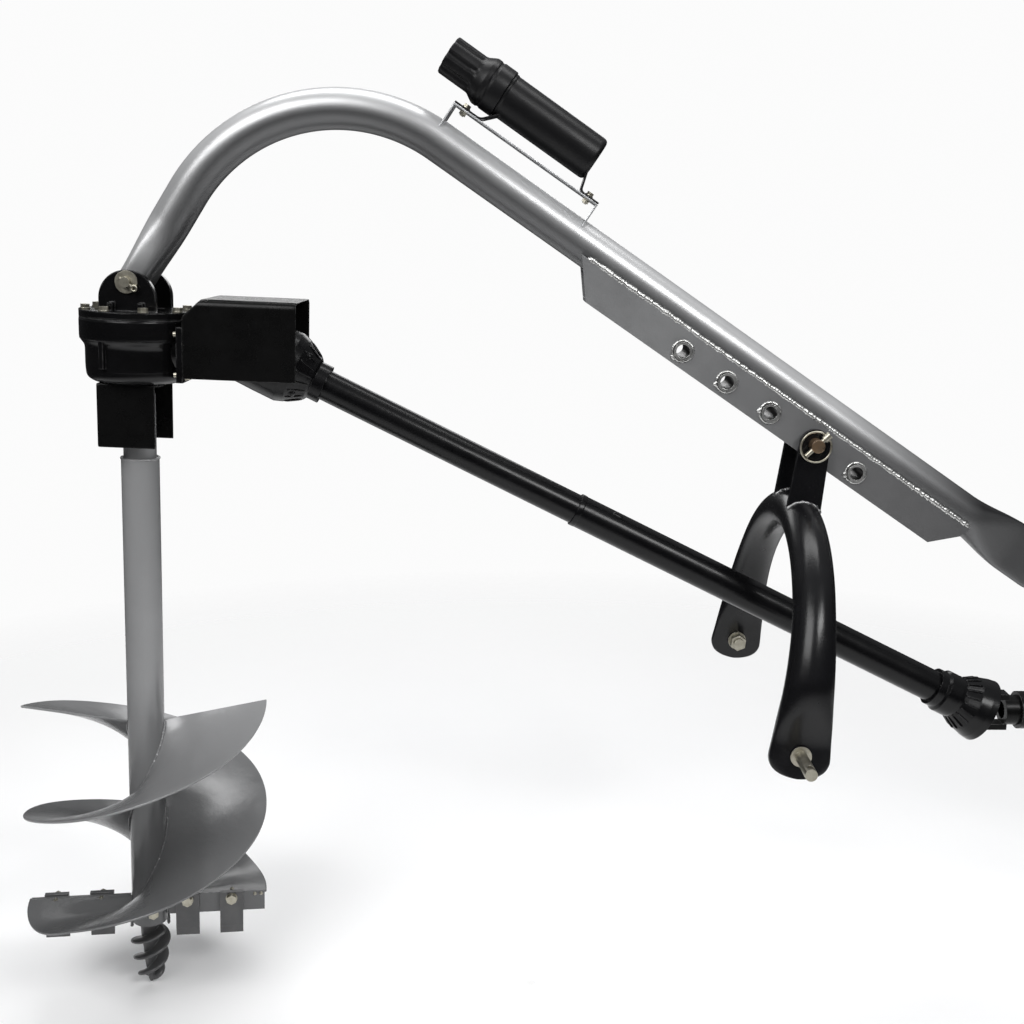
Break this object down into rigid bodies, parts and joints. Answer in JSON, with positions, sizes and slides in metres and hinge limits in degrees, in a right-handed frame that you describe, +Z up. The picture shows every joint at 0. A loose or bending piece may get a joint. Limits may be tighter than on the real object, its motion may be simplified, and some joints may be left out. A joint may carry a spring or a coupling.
{
  "type": "tractor post hole auger",
  "caption": "Three-point tractor post hole auger: bent tube boom, hanging bevel gearbox, telescopic shielded driveline, arched lift yoke and double flight earth auger.",
  "frame": {"origin": "centre of the top link bore in the boom's tongue", "axes": "+X towards the tractor, +Y along the pin axes to the machine's far side, +Z up"},
  "size_m": [2.0991, 0.839, 1.9189],
  "materials": {
    "boom_paint": "satin",
    "black_paint": "semi-gloss",
    "cast_paint": "semi-gloss",
    "auger_paint": "satin",
    "black_plastic": "matte",
    "zinc": "satin",
    "yellow_zinc": "satin",
    "bare_steel": "satin",
    "galvanised": "satin",
    "seal_rubber": "matte",
    "nylon": "matte"
  },
  "bodies": {
    "boom": {"boom_tube": "boom_paint", "boom_tip_bush": "boom_paint", "top_link_bush": "bare_steel", "stiffener_channel": "boom_paint", "pin_bushes": "boom_paint", "canister_bracket": "galvanised", "canister_body": "black_plastic", "canister_bolts": "zinc"},
    "canister_cap": {"canister_cap": "black_plastic"},
    "gearbox": {"gearbox_housing": "cast_paint", "gearbox_cover": "cast_paint", "cover_gasket": "seal_rubber", "cover_bolts": "zinc", "hanger_pin": "zinc", "hanger_washers": "zinc", "hanger_cotters": "zinc", "fill_plug": "zinc", "pinion_bearings": "bare_steel", "input_seal": "seal_rubber", "output_bearings": "bare_steel", "output_seal": "seal_rubber", "pto_guard": "black_paint", "auger_guard": "black_paint", "guard_bolts": "zinc"},
    "auger": {"output_shaft": "bare_steel", "ring_gear": "bare_steel", "auger_hub": "auger_paint", "auger_pipe": "auger_paint", "auger_bolts": "zinc", "auger_flight_a": "auger_paint", "auger_flight_b": "auger_paint", "cutter_plates": "auger_paint", "cutter_teeth": "auger_paint", "tooth_bolts": "zinc", "pilot_bit": "auger_paint"},
    "pinion": {"pinion_shaft": "bare_steel", "pinion_gear": "bare_steel", "input_yoke": "black_paint", "shear_bolt": "zinc", "input_cross": "bare_steel"},
    "front_shield": {"front_shield_tube": "black_plastic", "front_bell": "black_plastic", "front_shield_ring": "nylon"},
    "front_shaft": {"inner_drive_bar": "bare_steel", "front_drive_yoke": "black_paint"},
    "rear_shield": {"rear_shield_tube": "black_plastic", "rear_bell": "black_plastic", "rear_shield_ring": "nylon"},
    "rear_shaft": {"outer_drive_tube": "bare_steel", "rear_drive_yoke": "black_paint"},
    "tractor_yoke": {"tractor_yoke": "black_paint", "rear_cross": "bare_steel"},
    "lock_collar": {"lock_collar": "black_paint"},
    "lift_yoke": {"lift_yoke": "black_paint", "yoke_ears": "black_paint", "yoke_pin": "yellow_zinc", "lower_hitch_pins": "zinc", "hitch_pin_nuts": "zinc", "lynch_pin": "zinc"},
    "lynch_ring": {"lynch_ring": "zinc"}
  },
  "joints": [
    {"name": "cap_pull", "type": "slide", "parent": "boom", "child": "canister_cap", "axis": [-0.8241, 0, 0.5664], "range_m": [0, 0.05]},
    {"name": "gearbox_swing", "type": "hinge", "parent": "boom", "child": "gearbox", "pos_m": [-1.7536, 0, 0.55503], "axis": [0, 1, 0], "range_deg": [-12, 30]},
    {"name": "auger_spin", "type": "hinge", "parent": "gearbox", "child": "auger", "pos_m": [-1.7536, 0, 0.55503], "axis": [0.0419, 0, 0.9991], "continuous": true},
    {"name": "pinion_spin", "type": "hinge", "parent": "gearbox", "child": "pinion", "pos_m": [-1.52804, 0, 0.42047], "axis": [0.9991, 0, -0.0419], "continuous": true},
    {"name": "driveline_pitch", "type": "hinge", "parent": "gearbox", "child": "front_shield", "pos_m": [-1.52804, 0, 0.42047], "axis": [0, 1, 0], "range_deg": [-36, 15]},
    {"name": "driveline_slide", "type": "slide", "parent": "front_shield", "child": "rear_shield", "axis": [0.8926, 0, -0.4509], "range_m": [-0.0079, 0.0136]},
    {"name": "front_shaft_spin", "type": "hinge", "parent": "front_shield", "child": "front_shaft", "pos_m": [-1.52804, 0, 0.42047], "axis": [0.8926, 0, -0.4509], "continuous": true},
    {"name": "rear_shaft_spin", "type": "hinge", "parent": "rear_shield", "child": "rear_shaft", "pos_m": [-0.08473, 0, -0.3086], "axis": [0.8926, 0, -0.4509], "continuous": true},
    {"name": "tractor_yoke_spin", "type": "hinge", "parent": "rear_shield", "child": "tractor_yoke", "pos_m": [-0.08473, 0, -0.3086], "axis": [1, 0, 0], "continuous": true},
    {"name": "collar_pull", "type": "slide", "parent": "tractor_yoke", "child": "lock_collar", "axis": [-1, 0, 0], "range_m": [0, 0.012], "stiffness_N_per_m": 600, "springref_m": -0.02},
    {"name": "yoke_swing", "type": "hinge", "parent": "boom", "child": "lift_yoke", "pos_m": [-0.46467, 0, 0.2508], "axis": [0, 1, 0], "range_deg": [-20, 45]},
    {"name": "lynch_ring_flip", "type": "hinge", "parent": "lift_yoke", "child": "lynch_ring", "pos_m": [-0.44712, -0.0809, 0.26717], "axis": [-0.682, 0, 0.7314], "range_deg": [0, 150]}
  ],
  "couplings": [
    {"joint": "pinion_spin", "follows": "auger_spin", "ratio": 3},
    {"joint": "driveline_pitch", "follows": "gearbox_swing", "ratio": -1.162},
    {"joint": "driveline_slide", "follows": "gearbox_swing", "m_per_rad": 0.018408},
    {"joint": "front_shaft_spin", "follows": "auger_spin", "ratio": 3},
    {"joint": "rear_shaft_spin", "follows": "auger_spin", "ratio": 3},
    {"joint": "tractor_yoke_spin", "follows": "auger_spin", "ratio": 3}
  ]
}
